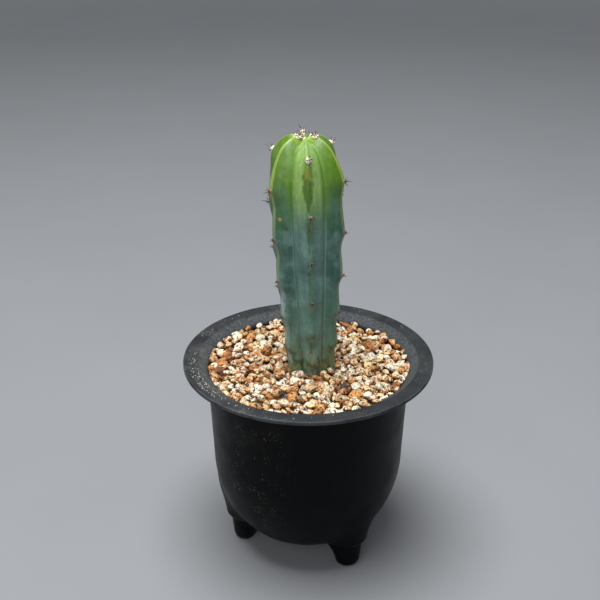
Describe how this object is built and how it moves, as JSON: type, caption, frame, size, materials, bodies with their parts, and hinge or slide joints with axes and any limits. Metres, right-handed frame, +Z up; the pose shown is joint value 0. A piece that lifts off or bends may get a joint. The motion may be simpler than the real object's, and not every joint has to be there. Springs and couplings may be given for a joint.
{
  "type": "potted tall cactus",
  "caption": "Tall ribbed blue-green column cactus standing in a black footed plastic pot dressed with pumice gravel.",
  "frame": {"origin": "on the ground under the pot's own axis, which is the centre of the flange", "axes": "+Z up, -Y to the front: the face seen in use, with one foot to the front right"},
  "size_m": [0.12, 0.12, 0.2155],
  "materials": {
    "black_plastic": "satin black moulded plastic, faintly dusty on the flange",
    "net_plastic": "dull moulded net",
    "soil": "dark crumbly potting soil",
    "pumice": "porous cream and ochre pumice grains",
    "cactus_skin": "waxy blue-green skin, fresh yellow-green at the top, olive where the wax is rubbed off",
    "spines": "short reddish spines on woolly pads",
    "stone_cream": "porous, white to cream",
    "stone_ochre": "porous, iron-stained",
    "stone_brown": "dull red-brown",
    "stone_dark": "dark grey"
  },
  "bodies": {
    "root": {"pot": "black_plastic", "drainage_net": "net_plastic", "potting_soil": "soil", "pumice_layer": "pumice", "cactus_stem": "cactus_skin", "spines_front_1": "spines", "spines_front_2": "spines", "spines_front_3": "spines", "spines_front_4": "spines", "spines_front_5": "spines", "spines_front_6": "spines", "spines_front_right_1": "spines", "spines_front_right_2": "spines", "spines_front_right_3": "spines", "spines_front_right_4": "spines", "spines_front_right_5": "spines", "spines_front_right_6": "spines", "spines_back_right_1": "spines", "spines_back_right_2": "spines", "spines_back_right_3": "spines", "spines_back_right_4": "spines", "spines_back_right_5": "spines", "spines_back_right_6": "spines", "spines_back_1": "spines", "spines_back_2": "spines", "spines_back_3": "spines", "spines_back_4": "spines", "spines_back_5": "spines", "spines_back_6": "spines", "spines_back_left_1": "spines", "spines_back_left_2": "spines", "spines_back_left_3": "spines", "spines_back_left_4": "spines", "spines_back_left_5": "spines", "spines_back_left_6": "spines", "spines_front_left_1": "spines", "spines_front_left_2": "spines", "spines_front_left_3": "spines", "spines_front_left_4": "spines", "spines_front_left_5": "spines", "spines_front_left_6": "spines", "stone_white_big": "stone_cream", "stone_white_long": "stone_cream", "stone_white_front": "stone_cream", "stone_white_side": "stone_cream", "stone_white_low": "stone_cream", "stone_white_behind": "stone_cream", "stone_white_left": "stone_cream", "stone_white_small": "stone_cream", "stone_cream_front": "stone_cream", "stone_tan_pitted": "stone_cream", "stone_ochre_left": "stone_ochre", "stone_ochre_behind": "stone_ochre", "stone_brown_edge": "stone_brown", "stone_brown_foot": "stone_brown", "stone_red_chip": "stone_brown", "stone_black": "stone_dark"}
  },
  "joints": []
}
